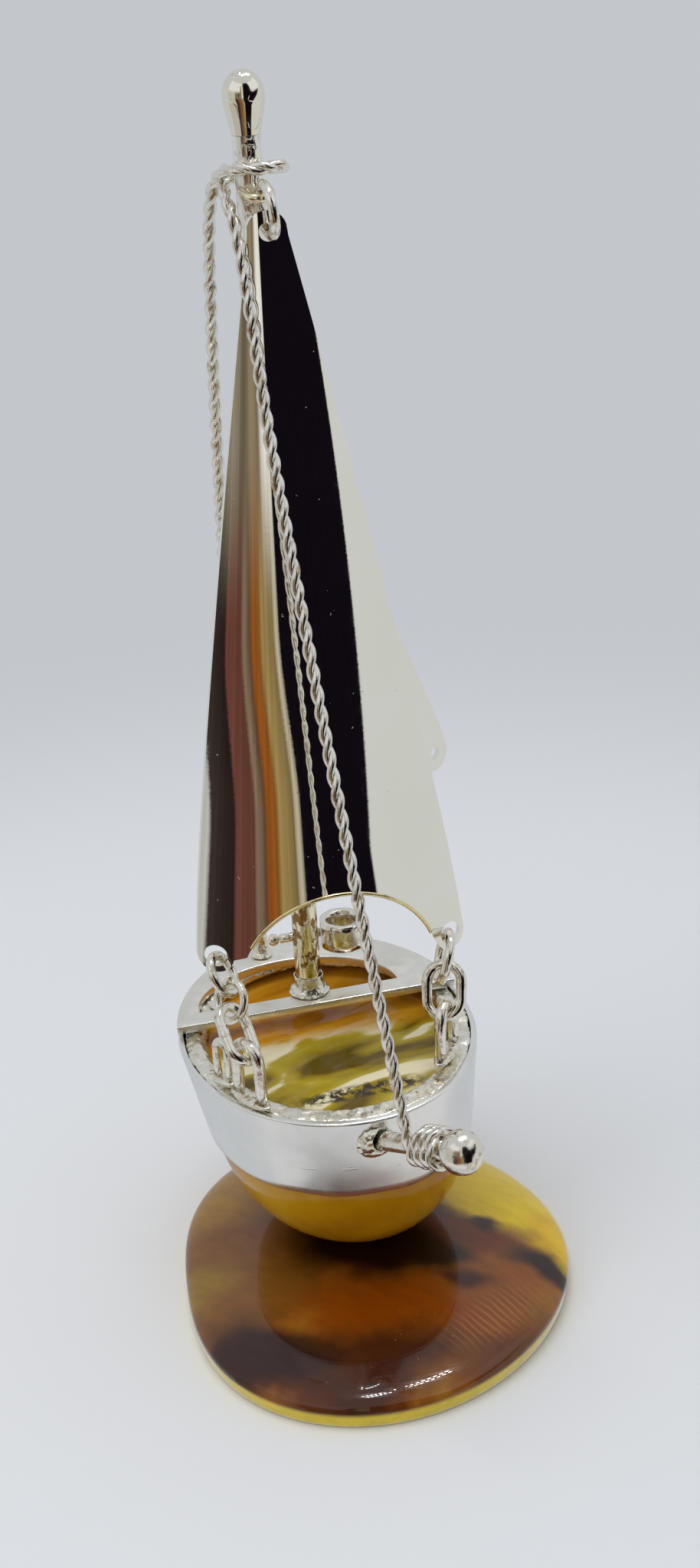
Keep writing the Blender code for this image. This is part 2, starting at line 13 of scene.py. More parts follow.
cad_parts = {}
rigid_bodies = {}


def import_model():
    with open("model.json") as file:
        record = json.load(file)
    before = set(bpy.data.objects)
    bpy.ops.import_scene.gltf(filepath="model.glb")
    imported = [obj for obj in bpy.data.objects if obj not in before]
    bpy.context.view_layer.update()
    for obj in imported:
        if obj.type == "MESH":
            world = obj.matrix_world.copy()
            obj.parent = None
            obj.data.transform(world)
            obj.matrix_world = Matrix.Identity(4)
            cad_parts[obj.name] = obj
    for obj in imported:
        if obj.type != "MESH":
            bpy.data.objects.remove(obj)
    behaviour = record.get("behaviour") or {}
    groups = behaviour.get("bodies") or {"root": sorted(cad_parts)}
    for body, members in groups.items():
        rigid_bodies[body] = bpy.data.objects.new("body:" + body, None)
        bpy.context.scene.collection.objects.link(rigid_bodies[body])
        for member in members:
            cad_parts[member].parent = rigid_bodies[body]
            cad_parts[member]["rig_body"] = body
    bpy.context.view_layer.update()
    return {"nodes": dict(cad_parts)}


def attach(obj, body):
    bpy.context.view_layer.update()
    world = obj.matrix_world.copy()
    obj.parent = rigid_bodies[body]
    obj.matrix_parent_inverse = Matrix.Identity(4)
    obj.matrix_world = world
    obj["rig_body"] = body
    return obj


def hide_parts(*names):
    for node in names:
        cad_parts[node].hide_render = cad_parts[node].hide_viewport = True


for item in list(bpy.data.objects):
    bpy.data.objects.remove(item, do_unlink=True)
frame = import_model()
NODES = frame["nodes"]
MM = 0.001
WELD = 1e-7  # metres: vertices nearer than this are one
ON_AXIS = 1e-6  # millimetres: a profile point nearer to the axis than this is one vertex

# Camera, in millimetres in the boat's frame
CAMERA_AT = (-32.1, -145.5, 110.7)
CAMERA_FORWARD = (0.2016, 0.8873, -0.4147)
CAMERA_ROLL = math.radians(3.6)
FOCAL_PIXELS, LONG_SIDE = 3000, 2048

# Foot
FOOT_RADIUS, FOOT_GIRDLE_Z, FOOT_DOME = 16.5, 1.4, 2.45
FOOT_HARMONICS = ((0.008, 0.0), (-0.088, 0.021), (0.030, -0.013))

# Hull
HULL_X, HULL_Y = -1.05, 4.8
HALF_LENGTH, SQUASH_X, HULL_LEAN = 13.9, 11.35 / 13.9, 0.075
BAND_TOP, BAND_BOTTOM, BAND_TAPER, BAND_WALL = 20.3, 13.0, 1.3, 0.5
STONE_TOP, STONE_BOTTOM, STONE_DEPTH, STONE_FULLNESS = 19.2, 4.32, 8.95, 0.74

# Mast and stay
MAST_X, MAST_Y, MAST_RADIUS, MAST_Z = -1.2, 9.5, 1.0, (21.15, 86.85)
FINIAL_TOP = 91.1
SPRIT_START, BALL_CENTRE = Vector((-0.75, -8.4, 18.3)), Vector((3.1, -17.9, 22.3))
STRAND_RADIUS, STRAND_OFFSET, STRAND_PITCH, STRAND_STEP = 0.28, 0.19, 2.9, 0.17
COIL_RADIUS, COIL_PITCH, COIL_TURNS, COIL_START = 1.2, 0.86, 3, 4.66

# Foresail
SAIL_X, SAIL_THICK = -0.6, 0.5
SAIL_TOP_Z, SAIL_TOP_Y, SAIL_RAKE, SAIL_BELLY = 82.0, 7.8, 0.107, 0.3
SAIL_MIDDLE_Z, SAIL_HALF_HEIGHT, SAIL_OVERLAP = 54.5, 30, 1.1
SAIL_HEAD_HALF, SAIL_SPREAD = 1.9, 0.16
SHOULDER_OUT, SHOULDER_Z, HOLLOW_OUT, HOLLOW_Z = 1.42, 80.4, 9.3, 40
HEAD_EYE, HEAD_RADIUS, HEAD_HOLE = (-0.75, 80.8), 1.4, 0.62
CLEW_PORT, CLEW_STARBOARD, CLEW_RADIUS, CLEW_HOLE = (-9.6, 30.1), (8.1, 28.9), 1.22, 0.8
ARCH_CENTRE, ARCH_RADII, ARCH_TILT = (-0.6, 26.7), (7.65, 7.55), -4.0

# After sail, in its own frame before it is turned about the mast
AFT_TURN, AFT_BELLY, AFT_BELLY_X, AFT_THICK = 25.4, 0.8, 7.5, 0.5
AFT_LUFF, AFT_CLEW, AFT_CLEW_RADIUS, AFT_CORNER = 1.3, (13.7, 37.2), 1.45, 1.2
HOOP_RADIUS, HOOP_Z, HOOP_HOLE, AFT_CLEW_HOLE = 2.1, (30.4, 62.2), 0.55, 0.5

# Surroundings
BACKGROUND = (0.548, 0.572, 0.604)
FLOOR_COLOUR = (0.775, 0.78, 0.79)
FLOOR_RADIUS, FLOOR_DROP, FLOOR_FADE = 3000, 0.02, (70.0, 150.0)
ONLY_REFLECTED = ("camera", "diffuse", "transmission", "volume_scatter", "shadow")


# ---------------------------------------------------------------- materials


class Look:
    """A procedural material being put together."""

    def __init__(self, name):
        self.material = bpy.data.materials.new(name)
        self.material.use_nodes = True
        self.tree = self.material.node_tree
        self.shader = self.tree.nodes["Principled BSDF"]

    def feed(self, socket, value):
        if isinstance(value, bpy.types.NodeSocket):
            self.tree.links.new(value, socket)
        else:
            socket.default_value = value

    def node(self, kind, settings=None, inputs=None):
        made = self.tree.nodes.new("ShaderNode" + kind)
        for key, value in (settings or {}).items():
            setattr(made, key, value)
        for key, value in (inputs or {}).items():
            self.feed(made.inputs[key], value)
        return made

    def place(self, stretch=(1, 1, 1), turn=0.0):
        """Object position in millimetres, divided by the stretch along each axis."""
        where = self.node("TexCoord").outputs["Object"]
        scale = tuple(MM * value for value in stretch)
        settings = {"vector_type": "TEXTURE"}
        return self.node(
            "Mapping", settings, {"Vector": where, "Rotation": (0, 0, math.radians(turn)), "Scale": scale}
        ).outputs["Vector"]

    def noise(self, per_mm, detail=4.0, roughness=0.5, vector=None, distortion=0.0):
        inputs = {"Vector": vector or self.place(), "Scale": per_mm, "Detail": detail}
        inputs |= {"Roughness": roughness, "Distortion": distortion}
        return self.node("TexNoise", None, inputs).outputs["Fac"]

    def ramp(self, value, stops):
        made = self.node("ValToRGB", None, {"Fac": value})
        points = made.color_ramp.elements
        while len(points) < len(stops):
            points.new(0.5)
        for point, (position, colour) in zip(points, stops):
            point.position = position
            point.color = (*colour, 1) if isinstance(colour, tuple) else (colour, colour, colour, 1)
        return made.outputs["Color"]

    def mix(self, share, first, second, blend="MIX"):
        made = self.node("Mix", {"data_type": "RGBA", "blend_type": blend})
        self.feed(made.inputs[0], share)
        self.feed(made.inputs[6], (*first, 1) if isinstance(first, tuple) else first)
        self.feed(made.inputs[7], (*second, 1) if isinstance(second, tuple) else second)
        return made.outputs[2]

    def maths(self, operation, first, second=0.0):
        made = self.node("Math", {"operation": operation})
        self.feed(made.inputs[0], first)
        self.feed(made.inputs[1], second)
        return made.outputs[0]

    def between(self, value, low, high, to_low=0.0, to_high=1.0):
        inputs = {"Value": value, "From Min": low, "From Max": high, "To Min": to_low, "To Max": to_high}
        return self.node("MapRange", {"interpolation_type": "SMOOTHSTEP"}, inputs).outputs["Result"]

    def axis(self, name, vector=None):
        return self.node("SeparateXYZ", None, {"Vector": vector or self.place()}).outputs[name]

    def blob(self, vector, centre, radii, turn=0.0, edge=0.5):
        """1 inside an ellipse in XY, falling to 0 at its edge."""
        inputs = {"Vector": vector, "Location": (*centre, 0), "Rotation": (0, 0, math.radians(turn))}
        inputs["Scale"] = (*radii, 100)
        local = self.node("Mapping", {"vector_type": "TEXTURE"}, inputs).outputs["Vector"]
        share = self.node("TexGradient", {"gradient_type": "SPHERICAL"}, {"Vector": local}).outputs["Fac"]
        return self.between(share, 0.0, edge)

    def warped(self, per_mm, amount):
        """Position in millimetres, pushed about by noise."""
        where = self.place()
        inputs = {"Vector": where, "Scale": per_mm, "Detail": 3.0}
        push = self.node("TexNoise", None, inputs).outputs["Color"]
        middle = (0.5, 0.5, 0.5)
        centred = self.node("VectorMath", {"operation": "SUBTRACT"}, {0: push, 1: middle}).outputs[0]
        sized = self.node("VectorMath", {"operation": "SCALE"}, {0: centred, "Scale": amount}).outputs[0]
        return self.node("VectorMath", {"operation": "ADD"}, {0: where, 1: sized}).outputs[0]

    def bump(self, height, depth_mm, strength=1.0):
        made = self.node("Bump", None, {"Height": height, "Distance": depth_mm * MM, "Strength": strength})
        earlier = self.shader.inputs["Normal"]
        if earlier.is_linked:
            self.feed(made.inputs["Normal"], earlier.links[0].from_socket)
        self.feed(earlier, made.outputs["Normal"])

    def set(self, **values):
        names = {
            "colour": "Base Color",
            "roughness": "Roughness",
            "metallic": "Metallic",
            "coat": "Coat Weight",
            "coat_roughness": "Coat Roughness",
            "ior": "IOR",
            "specular": "Specular IOR Level",
            "subsurface": "Subsurface Weight",
            "subsurface_radius": "Subsurface Radius",
            "subsurface_scale": "Subsurface Scale",
        }
        for key, value in values.items():
            if key == "colour" and isinstance(value, tuple):
                value = (*value, 1)
            self.feed(self.shader.inputs[names[key]], value)

    def surface(self, shader):
        """Makes this shader socket the material's surface."""
        self.tree.links.new(shader, self.tree.nodes["Material Output"].inputs["Surface"])


def scratches(look, per_mm, turn, width=14.0):
    """Fine lines along one direction."""
    return look.noise(per_mm, 2.0, 0.6, look.place((width, 1, 1), turn))


def sail_silver():
    """Polished sheet: nearly a mirror, with faint waves, hairline scratches and a few pits."""
    look = Look("sail_silver")
    tone = look.noise(0.12, 3.0)
    look.set(metallic=1.0, colour=look.ramp(tone, [(0.3, (0.93, 0.915, 0.86)), (0.7, (0.97, 0.955, 0.91))]))
    haze = look.noise(1.3, 5.0, 0.6)
    look.set(roughness=look.between(haze, 0.35, 0.75, 0.015, 0.05))
    look.bump(look.noise(0.16, 1.0, 0.3, look.place((1, 1, 4))), 0.04, 0.3)
    look.bump(scratches(look, 2.2, 0), 0.002, 0.5)
    pits = look.between(look.noise(2.6, 2.0, 0.5), 0.76, 0.80)
    look.bump(pits, 0.02, 0.4)
    return look.material


def wire_silver(name="wire_silver", tint=(0.91, 0.87, 0.78), rough=(0.09, 0.26)):
    """Hand-worked wire: soft dents, light tarnish in patches."""
    look = Look(name)
    tarnish = look.between(look.noise(0.9, 4.0, 0.65), 0.52, 0.70)
    look.set(metallic=1.0, colour=look.mix(tarnish, tint, (0.50, 0.39, 0.27)))
    look.set(roughness=look.between(look.noise(2.0, 4.0), 0.3, 0.75, *rough))
    look.bump(look.noise(1.1, 3.0, 0.5), 0.06, 0.55)
    look.bump(look.noise(7.0, 3.0, 0.5), 0.01, 0.5)
    return look.material


def band_silver():
    """Satin band: brushed along its length, with a few deeper scratches and rub marks."""
    look = Look("band_silver")
    cloud = look.noise(0.16, 4.0, 0.6)
    look.set(metallic=1.0, colour=look.ramp(cloud, [(0.3, (0.86, 0.855, 0.82)), (0.7, (0.96, 0.95, 0.92))]))
    look.set(roughness=look.between(look.noise(0.3, 3.0, 0.5), 0.3, 0.75, 0.2, 0.32))
    look.bump(look.noise(0.14, 1.5, 0.4), 0.22, 0.5)
    look.bump(scratches(look, 5.0, 12), 0.002, 0.4)
    deep = look.between(scratches(look, 1.8, -24, 26.0), 0.66, 0.72)
    look.bump(deep, 0.008, 0.4)
    return look.material


def deck_silver():
    """Pale satin plate, slightly yellowed."""
    look = Look("deck_silver")
    cloud = look.noise(0.3, 4.0, 0.6)
    look.set(metallic=1.0, colour=look.ramp(cloud, [(0.3, (0.83, 0.80, 0.70)), (0.7, (0.95, 0.93, 0.86))]))
    look.set(roughness=look.between(look.noise(1.0, 5.0), 0.3, 0.75, 0.26, 0.45))
    look.bump(look.noise(0.6, 2.5, 0.5), 0.07, 0.5)
    look.bump(scratches(look, 4.0, 80), 0.002, 0.4)
    return look.material


def solder_silver():
    """Rough solder: sparkling lumps with brown residue in the hollows."""
    look = Look("solder_silver")
    lumps = look.noise(1.1, 3.0, 0.5)
    dirt = look.between(look.noise(0.7, 6.0, 0.7), 0.57, 0.66)
    silver = look.ramp(lumps, [(0.3, (0.80, 0.74, 0.58)), (0.65, (0.96, 0.94, 0.86))])
    look.set(metallic=1.0, colour=look.mix(dirt, silver, (0.30, 0.19, 0.07)))
    look.set(roughness=look.between(look.noise(2.0, 3.0), 0.3, 0.7, 0.14, 0.34))
    look.bump(lumps, 0.16, 0.6)
    look.bump(look.noise(4.0, 3.0, 0.5), 0.02, 0.5)
    return look.material


def mast_silver():
    """Polished rod whose lower end is mottled gold and brown by heat."""
    look = Look("mast_silver")
    height = look.axis("Z")
    low = look.between(height, 34.0, 46.0, 1.0, 0.0)
    spots = look.between(look.noise(1.15, 3.0, 0.6, look.place((1, 1, 1.5))), 0.43, 0.50)
    stains = look.mix(spots, (0.30, 0.17, 0.05), (0.93, 0.87, 0.68))
    look.set(metallic=1.0, colour=look.mix(low, (0.95, 0.93, 0.87), stains))
    look.set(roughness=look.between(look.noise(2.0, 4.0), 0.3, 0.7, 0.08, 0.25))
    look.bump(spots, 0.06, 0.6)
    look.bump(look.noise(0.6, 2.0), 0.08, 0.5)
    return look.material


def finial_silver():
    """Mirror-bright knob with a seam and small dark marks."""
    look = Look("finial_silver")
    marks = look.between(look.noise(0.9, 4.0, 0.7, distortion=0.6), 0.62, 0.68)
    look.set(metallic=1.0, colour=look.mix(marks, (0.93, 0.89, 0.78), (0.30, 0.19, 0.09)))
    look.set(roughness=look.between(look.noise(2.0, 3.0), 0.3, 0.7, 0.04, 0.12))
    look.bump(look.noise(0.5, 1.0, 0.4), 0.05, 0.4)
    seam = look.between(look.noise(0.22, 1.0, 0.3, distortion=1.5), 0.495, 0.505)
    look.bump(seam, 0.05, 0.5)
    return look.material


def foot_amber():
    """Polished cognac amber: yellow windows, smoky veins and gold flecks under a clear surface, with a
    painted reflection of the hull in the middle, a painted sheen at the front and a painted glow of light
    through the lower rim.
    """
    look = Look("foot_amber")
    where = look.warped(0.16, 5.0)
    swirl = look.noise(0.1, 4.0, 0.55, look.warped(0.1, 7.0))
    body = look.ramp(
        swirl,
        [
            (0.36, (0.05, 0.014, 0.004)),
            (0.47, (0.16, 0.042, 0.005)),
            (0.56, (0.30, 0.095, 0.010)),
            (0.66, (0.38, 0.17, 0.02)),
        ],
    )
    patches = (  # centre and radii in millimetres, turn in degrees, softness of the edge, colour
        ((-10.5, 2.0), (9.0, 14.0), 10, 0.6, (0.21, 0.078, 0.008)),
        ((-9.5, 11.5), (7.0, 7.0), 0, 0.6, (0.34, 0.17, 0.004)),
        ((-13.0, -0.5), (3.5, 3.5), 0, 0.8, (0.27, 0.15, 0.010)),
        ((1.0, -8.5), (11.0, 6.0), -12, 0.7, (0.24, 0.048, 0.001)),
        ((9.0, -7.5), (7.0, 5.0), -20, 0.7, (0.26, 0.078, 0.008)),
        ((13.6, 3.8), (7.6, 9.0), 32, 0.25, (0.86, 0.60, 0.001)),
        ((15.6, -4.0), (3.4, 6.0), 0, 0.4, (0.84, 0.52, 0.001)),
        # painted reflection of the hull: this near-black patch in the middle of the dome stands in for the
        # hull mirrored in the polish
        ((1.0, -0.6), (10.5, 6.2), -14, 0.55, (0.014, 0.002, 0.001)),
        ((8.6, -1.6), (8.0, 3.0), -36, 0.8, (0.16, 0.034, 0.006)),
        ((5.0, -3.6), (4.2, 2.2), -20, 0.7, (0.012, 0.004, 0.003)),
        ((13.0, -7.0), (5.0, 2.0), -50, 0.7, (0.030, 0.008, 0.006)),
        ((9.6, -0.6), (2.4, 1.4), -30, 0.7, (0.050, 0.012, 0.008)),
        ((6.4, -6.8), (4.0, 1.4), -30, 0.8, (0.060, 0.014, 0.008)),
        ((-9.5, -11.0), (9.5, 3.4), -22, 0.7, (0.030, 0.008, 0.006)),
        ((-2.0, -14.5), (12.0, 4.0), 8, 0.8, (0.060, 0.014, 0.005)),
        ((8.0, -14.5), (8.0, 3.0), 30, 0.8, (0.13, 0.042, 0.012)),
    )
    colour = body
    for centre, radii, turn, edge, tint in patches:
        colour = look.mix(look.blob(where, centre, radii, turn, edge), colour, tint)
    grain = look.noise(0.9, 6.0, 0.7, look.place((1, 3, 1), 35))
    colour = look.mix(0.4, colour, look.ramp(grain, [(0.3, 0.4), (0.6, 0.9), (0.8, 1.0)]), "MULTIPLY")
    flecks = look.between(look.noise(3.2, 3.0, 0.6, look.warped(0.5, 1.5)), 0.70, 0.76)
    near_front = look.blob(look.place(), (3.0, -11.5), (8.0, 5.0), 20)
    colour = look.mix(look.maths("MULTIPLY", flecks, near_front), colour, (0.75, 0.48, 0.14))
    # painted sheen: lighter wavy streaks in a patch at the front right stand in for light caught in the
    # polish
    sheen_strokes = look.node("TexWave", {"bands_direction": "X"})
    look.feed(sheen_strokes.inputs["Vector"], look.place((1, 1, 1), 28))
    look.feed(sheen_strokes.inputs["Scale"], 0.55)
    look.feed(sheen_strokes.inputs["Distortion"], 2.4)
    # the area that gets the painted sheen
    polished = look.blob(look.place(), (6.8, -11.4), (6.0, 2.6), 30, 0.8)
    painted_sheen = look.maths("MULTIPLY", look.between(sheen_strokes.outputs["Fac"], 0.55, 0.95), polished)
    colour = look.mix(look.maths("MULTIPLY", painted_sheen, 0.3), colour, (0.50, 0.26, 0.09))
    # painted glow: below the girdle the amber is painted bright yellow, standing in for light shining through
    # the thin rim
    side = look.between(look.axis("Z"), 0.95, 1.5, 1.0, 0.0)
    rim = look.ramp(grain, [(0.3, (0.62, 0.44, 0.01)), (0.7, (0.80, 0.60, 0.03))])
    colour = look.mix(side, colour, rim)
    look.set(colour=colour, ior=1.5, specular=0.1, coat=0.75, coat_roughness=0.015)
    look.set(roughness=look.between(look.noise(0.8, 4.0), 0.3, 0.7, 0.10, 0.20))
    arcs = look.node("TexWave", {"wave_type": "RINGS", "rings_direction": "Z"})
    look.feed(arcs.inputs["Vector"], look.place())
    look.feed(arcs.inputs["Scale"], 0.9)
    look.feed(arcs.inputs["Distortion"], 1.0)
    look.bump(arcs.outputs["Fac"], 0.006, 0.35)
    look.bump(look.noise(0.35, 3.0), 0.05, 0.25)
    return look.material


def hull_amber():
    """Honey amber: clear butterscotch below, and on top olive and cream layers with grime by the rim."""
    look = Look("hull_amber")
    where = look.place()
    depth = look.axis("Z", where)
    along = look.axis("Y", where)
    below = look.noise(0.12, 4.0, 0.5, look.warped(0.1, 4.0))
    clear = look.ramp(
        below, [(0.3, (0.34, 0.13, 0.001)), (0.5, (0.46, 0.215, 0.002)), (0.7, (0.55, 0.30, 0.010))]
    )
    layers = look.noise(0.62, 2.5, 0.5, look.place((5.5, 2.3, 2.3), 14), 0.5)
    olive = look.ramp(
        layers,
        [
            (0.38, (0.13, 0.080, 0.002)),
            (0.47, (0.34, 0.23, 0.004)),
            (0.56, (0.48, 0.36, 0.02)),
            (0.60, (0.85, 0.76, 0.50)),
        ],
    )
    amber = look.ramp(
        layers, [(0.35, (0.42, 0.15, 0.004)), (0.6, (0.66, 0.30, 0.012)), (0.75, (0.75, 0.48, 0.10))]
    )
    top = look.mix(look.between(along, 4.2, 6.6), olive, amber)
    grime = look.between(look.noise(1.1, 6.0, 0.75), 0.44, 0.52)
    front = look.blob(where, (-0.3, -3.2), (7.2, 1.2), 2, 0.5)
    top = look.mix(look.maths("MULTIPLY", grime, front), top, (0.035, 0.022, 0.008))
    crumbs = look.between(look.noise(2.4, 4.0, 0.7), 0.64, 0.68)
    crossbar = look.blob(where, (-1.5, 6.2), (11.0, 1.6), 0, 0.6)
    top = look.mix(look.maths("MULTIPLY", crumbs, crossbar), top, (0.05, 0.025, 0.01))
    look.set(colour=look.mix(look.between(depth, 18.3, 18.9), clear, top))
    look.set(ior=1.5, specular=0.15, coat=0.25, coat_roughness=0.06, subsurface=0.12)
    look.set(subsurface_radius=(1.0, 0.45, 0.08), subsurface_scale=1.6 * MM)
    look.set(roughness=look.between(look.noise(1.0, 4.0), 0.3, 0.7, 0.10, 0.28))
    upper = look.between(depth, 18.3, 18.9)
    look.bump(look.maths("MULTIPLY", layers, upper), 0.25, 0.4)
    look.bump(look.maths("MULTIPLY", look.noise(2.0, 4.0), upper), 0.04, 0.4)
    return look.material


def glue_look():
    """Cloudy yellow glue that has run a little."""
    look = Look("set_glue")
    look.set(colour=look.ramp(look.noise(1.2, 4.0), [(0.3, (0.30, 0.16, 0.03)), (0.7, (0.55, 0.38, 0.14))]))
    look.set(roughness=look.between(look.noise(2.0, 3.0), 0.3, 0.7, 0.15, 0.35), coat=0.6)
    look.bump(look.noise(1.5, 3.0), 0.08, 0.5)
    return look.material


# ---------------------------------------------------------------- shapes


def mesh_from(shell, name):
    """A mesh with the bmesh's shape; the bmesh is freed."""
    mesh = bpy.data.meshes.new(name)
    shell.to_mesh(mesh)
    shell.free()
    return mesh


def welded(mesh):
    """A bmesh of the mesh with its doubled vertices merged."""
    shell = bmesh.new()
    shell.from_mesh(mesh)
    bmesh.ops.remove_doubles(shell, verts=shell.verts, dist=WELD)
    return shell


def add(name, mesh):
    item = bpy.data.objects.new(name, mesh)
    bpy.context.scene.collection.objects.link(item)
    return item


def show(item, look, slot, body, *nodes):
    """Gives a finished piece its material, its CAD body and the nodes it stands for."""
    item.data.materials.clear()
    item.data.materials.append(look)
    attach(item, body)
    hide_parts(*nodes)
    return item


def smooth(mesh, sharp_over=40.0):
    for face in mesh.polygons:
        face.use_smooth = True
    mesh.set_sharp_from_angle(angle=math.radians(sharp_over))


def turned(name, profile, steps, shape, closed=False):
    """A body turned from an (r, z) profile; shape maps (r, angle, z) to a point in millimetres."""
    shell = bmesh.new()
    rings = []
    for r, z in profile:
        if r < ON_AXIS:
            rings.append([shell.verts.new(Vector(shape(0.0, 0.0, z)) * MM)] * steps)
            continue
        angles = (2 * math.pi * i / steps for i in range(steps))
        rings.append([shell.verts.new(Vector(shape(r, angle, z)) * MM) for angle in angles])
    pairs = list(zip(rings, rings[1:])) + ([(rings[-1], rings[0])] if closed else [])
    for upper, lower in pairs:
        for i in range(steps):
            k = (i + 1) % steps
            corners = list(dict.fromkeys((upper[i], lower[i], lower[k], upper[k])))
            shell.faces.new(corners)
    bmesh.ops.recalc_face_normals(shell, faces=shell.faces)
    mesh = mesh_from(shell, name)
    smooth(mesh)
    return add(name, mesh)


def refined(points, longest):
    """The profile with its long steps split, so that noise and bends have points to move."""
    path = [points[0]]
    for point in points[1:]:
        start = path[-1]
        count = max(1, math.ceil(math.dist(start, point) / longest))
        path += [tuple(a + (b - a) * k / count for a, b in zip(start, point)) for k in range(1, count + 1)]
    return path


def evaluated(item, name=None):
    """A new plain mesh of an object with its modifiers applied."""
    bpy.context.view_layer.update()
    graph = bpy.context.evaluated_depsgraph_get()
    mesh = bpy.data.meshes.new_from_object(item.evaluated_get(graph))
    mesh.name = name or item.name
    return mesh


def quads_of(node):
    """A node's mesh with its vertices merged and its triangles joined back into quads."""
    shell = welded(NODES[node].data)
    bend_limit = math.radians(50)
    bmesh.ops.join_triangles(
        shell, faces=shell.faces, angle_face_threshold=bend_limit, angle_shape_threshold=bend_limit
    )
    crease = shell.edges.layers.float.new("crease_edge")
    for edge in shell.edges:
        if len(edge.link_faces) == 2 and edge.calc_face_angle() > math.radians(60):
            edge[crease] = 1.0
    return mesh_from(shell, node + "_form")


def rounded(node, swell=0.03, dents=0.0, per_mm=1.2, levels=2):
    """A smooth, slightly dented version of a node made of wire or a ball."""
    item = add(node + "_shape", quads_of(node))
    subdivide = item.modifiers.new("round", "SUBSURF")
    subdivide.levels = subdivide.render_levels = levels
    mesh = evaluated(item, node + "_mesh")
    bpy.data.objects.remove(item)
    push(mesh, lambda point: swell + dents * noise.noise(point * per_mm))
    smooth(mesh, 70)
    return add(node + "_fine", mesh)


def push(mesh, amount):
    """Moves each vertex along its normal by an amount in millimetres, worked out from its place."""
    moves = [(vertex.co.copy(), vertex.normal.copy()) for vertex in mesh.vertices]
    for vertex, (point, normal) in zip(mesh.vertices, moves):
        vertex.co = point + normal * amount(point / MM) * MM
    mesh.update()


def lumpy(node, voxel, depth, per_mm):
    """A node as hand-run solder: remeshed finely, then pushed in and out."""
    item = add(node + "_cast", quads_of(node))
    remesh = item.modifiers.new("cast", "REMESH")
    remesh.mode = "VOXEL"
    remesh.voxel_size = voxel * MM
    mesh = evaluated(item, node + "_mesh")
    bpy.data.objects.remove(item)

    def amount(point):
        broad = noise.noise(point * per_mm)
        fine = noise.noise(point * per_mm * 2.7 + Vector((7, 3, 1)))
        return depth * (0.7 * broad + 0.45 * fine)

    push(mesh, amount)
    item = add(node + "_lumps", mesh)
    relax = item.modifiers.new("relax", "SMOOTH")
    relax.iterations = 2
    mesh = evaluated(item, node + "_mesh")
    bpy.data.objects.remove(item)
    smooth(mesh, 180)
    return add(node + "_lumps", mesh)


def arc(centre, radii, start, end, count, tilt=0.0):
    """Points of part of an ellipse, by angle in degrees."""
    points = []
    lean = math.radians(tilt)
    cos_lean, sin_lean = math.cos(lean), math.sin(lean)
    for i in range(count + 1):
        angle = math.radians(start + (end - start) * i / count)
        x, y = radii[0] * math.cos(angle), radii[1] * math.sin(angle)
        points.append((centre[0] + x * cos_lean - y * sin_lean, centre[1] + x * sin_lean + y * cos_lean))
    return points


def bend(start, control, end, count):
    """Points of a curve drawn towards one control point."""
    points = []
    for i in range(count + 1):
        t = i / count
        pulls = ((1 - t) ** 2, 2 * t * (1 - t), t * t)
        points.append(tuple(sum(p * q for p, q in zip(pulls, line)) for line in zip(start, control, end)))
    return points


def smooth_path(points, steps):
    """A smooth curve through the points, with this many steps between each two."""
    points = [Vector(point) for point in points]
    ends = [points[0] * 2 - points[1], *points, points[-1] * 2 - points[-2]]
    path = []
    for i in range(1, len(ends) - 2):
        before, a, b, after = ends[i - 1 : i + 3]
        for k in range(steps):
            t = k / steps
            square = (2 * before - 5 * a + 4 * b - after) * t * t
            cube = (3 * a - before - 3 * b + after) * t**3
            path.append(0.5 * (2 * a + (b - before) * t + square + cube))
    return [*path, points[-1]]


def evenly(points, step):
    """The path's points again, at even distances along it."""
    lengths = [0.0]
    for a, b in zip(points, points[1:]):
        lengths.append(lengths[-1] + (b - a).length)
    count = int(lengths[-1] / step)
    path, k = [], 0
    for i in range(count + 1):
        goal = lengths[-1] * i / count
        while k < len(points) - 2 and lengths[k + 1] < goal:
            k += 1
        share = (goal - lengths[k]) / max(lengths[k + 1] - lengths[k], 1e-9)
        path.append(points[k].lerp(points[k + 1], share))
    return path


def strand(path, phase):
    """One strand of a two-strand twist along a path of even steps."""
    side = (path[1] - path[0]).orthogonal().normalized()
    points = []
    for i, point in enumerate(path):
        ahead, behind = path[min(i + 1, len(path) - 1)], path[max(i - 1, 0)]
        forward = (ahead - behind).normalized()
        side = (side - side.dot(forward) * forward).normalized()
        angle = 2 * math.pi * i * STRAND_STEP / STRAND_PITCH + phase
        outward = math.cos(angle) * side + math.sin(angle) * forward.cross(side)
        points.append(point + STRAND_OFFSET * outward)
    return points


def wire(name, paths, radius, resolution=3):
    """Round wire of this radius in millimetres along each path."""
    curve = bpy.data.curves.new(name, "CURVE")
    curve.dimensions = "3D"
    curve.bevel_depth = radius * MM
    curve.bevel_resolution = resolution
    curve.use_fill_caps = True
    for points in paths:
        spline = curve.splines.new("POLY")
        spline.points.add(len(points) - 1)
        for target, point in zip(spline.points, points):
            target.co = (*(point * MM), 1)
        spline.use_smooth = True
    item = add(name, curve)
    mesh = evaluated(item, name)
    bpy.data.objects.remove(item)
    smooth(mesh, 60)
    return add(name, mesh)


def band_radius(z):
    """The band's outer half-length at a height: it narrows downwards."""
    return HALF_LENGTH - (BAND_TOP - z) * BAND_TAPER / (BAND_TOP - BAND_BOTTOM)


def oval(r, angle, z):
    """A point of the hull: an oval that leans to starboard towards the keel."""
    x = r * math.cos(angle) * SQUASH_X + HULL_LEAN * (BAND_TOP - z)
    return HULL_X + x, HULL_Y + r * math.sin(angle), z


